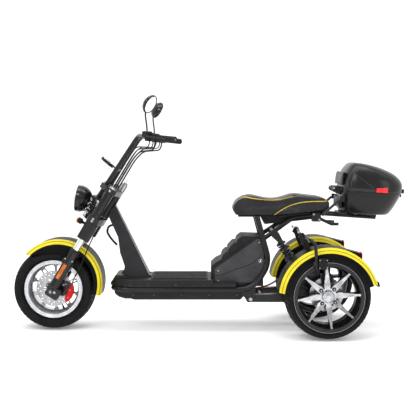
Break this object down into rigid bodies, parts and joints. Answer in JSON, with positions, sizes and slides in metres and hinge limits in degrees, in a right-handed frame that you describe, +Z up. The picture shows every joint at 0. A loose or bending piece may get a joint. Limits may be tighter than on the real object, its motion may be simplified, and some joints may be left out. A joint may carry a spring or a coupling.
{
  "type": "electric tricycle",
  "caption": "Two-seat electric tricycle with one fat front wheel on a raked fork, a flat foot deck, a long saddle, two rear wheels and a hinged rear top box.",
  "frame": {"origin": "centre of the bounding box at the ground", "axes": "+X forward towards the front wheel, +Y to the rider's left, +Z up"},
  "size_m": [2.2859, 0.9054, 1.3423],
  "materials": {
    "black_frame": "satin",
    "grey_frame": "satin",
    "gloss_black": "gloss",
    "matte_black": "matte",
    "grey_plastic": "matte",
    "saddle": "satin",
    "pad": "satin",
    "tyre": "matte",
    "rubber": "matte",
    "bright_rim": "polished",
    "machined": "machined",
    "cast_alloy": "cast",
    "chrome": "polished",
    "steel": "brushed",
    "red_caliper": "gloss",
    "clear_lens": "clear",
    "amber_lens": "clear",
    "red_lens": "clear",
    "red_cable": "satin"
  },
  "bodies": {
    "chassis": {"main_frame": "grey_frame", "frame_rails": "black_frame", "battery_tray": "black_frame", "deck_plate": "matte_black", "deck_mat": "rubber", "battery_case": "matte_black", "case_cover": "matte_black", "seat": "saddle", "seat_pan": "matte_black", "seat_frame": "black_frame", "swingarm": "black_frame", "swingarm_pivot": "steel", "rear_motor": "cast_alloy", "rear_shocks": "black_frame", "shock_springs": "black_frame", "rear_calipers": "cast_alloy", "rear_fender_left": "gloss_black", "rear_fender_right": "gloss_black", "tail_lamps": "red_lens", "rear_footrests": "cast_alloy", "rear_rack": "black_frame", "topbox_base": "matte_black", "case_panels": "grey_plastic", "wiring_loom": "rubber", "motor_cable": "red_cable", "topbox_front_pad": "pad"},
    "steering": {"fork_sliders": "black_frame", "fork_stanchions": "chrome", "fork_clamps": "black_frame", "fork_covers": "black_frame", "front_axle": "chrome", "front_caliper": "red_caliper", "front_fender": "gloss_black", "headlight_bucket": "gloss_black", "headlight_lens": "clear_lens", "headlight_bracket": "black_frame", "front_turn_signals": "amber_lens", "handlebar": "black_frame", "grips": "rubber", "bar_controls": "matte_black", "mirrors": "gloss_black", "dash_display": "gloss_black", "ignition_lock": "steel", "control_cables": "rubber", "fork_reflectors": "amber_lens"},
    "front_wheel": {"front_tyre": "tyre", "front_rim": "bright_rim", "front_brake_disc": "steel"},
    "rear_wheel_left": {"rear_tyre_left": "tyre", "rear_rim_left": "black_frame", "rear_star_left": "machined", "rear_hub_left": "steel"},
    "rear_wheel_right": {"rear_tyre_right": "tyre", "rear_rim_right": "black_frame", "rear_star_right": "machined", "rear_hub_right": "steel"},
    "topbox_lid": {"topbox_lid": "matte_black", "backrest_pad": "pad", "topbox_reflectors": "red_lens"}
  },
  "joints": [
    {"name": "steering_turn", "type": "hinge", "parent": "chassis", "child": "steering", "pos_m": [0.88028, 0, 0.22305], "axis": [-0.515, 0, 0.8572], "range_deg": [-35, 35]},
    {"name": "front_wheel_spin", "type": "hinge", "parent": "steering", "child": "front_wheel", "pos_m": [0.906, 0, 0.2385], "axis": [0, 1, 0], "continuous": true},
    {"name": "rear_wheel_left_spin", "type": "hinge", "parent": "chassis", "child": "rear_wheel_left", "pos_m": [-0.656, 0.29, 0.2393], "axis": [0, 1, 0], "continuous": true},
    {"name": "rear_wheel_right_spin", "type": "hinge", "parent": "chassis", "child": "rear_wheel_right", "pos_m": [-0.656, -0.29, 0.2393], "axis": [0, 1, 0], "continuous": true},
    {"name": "lid_hinge", "type": "hinge", "parent": "chassis", "child": "topbox_lid", "pos_m": [-0.72142, 0, 0.82563], "axis": [0, 1, 0], "range_deg": [0, 75]}
  ]
}
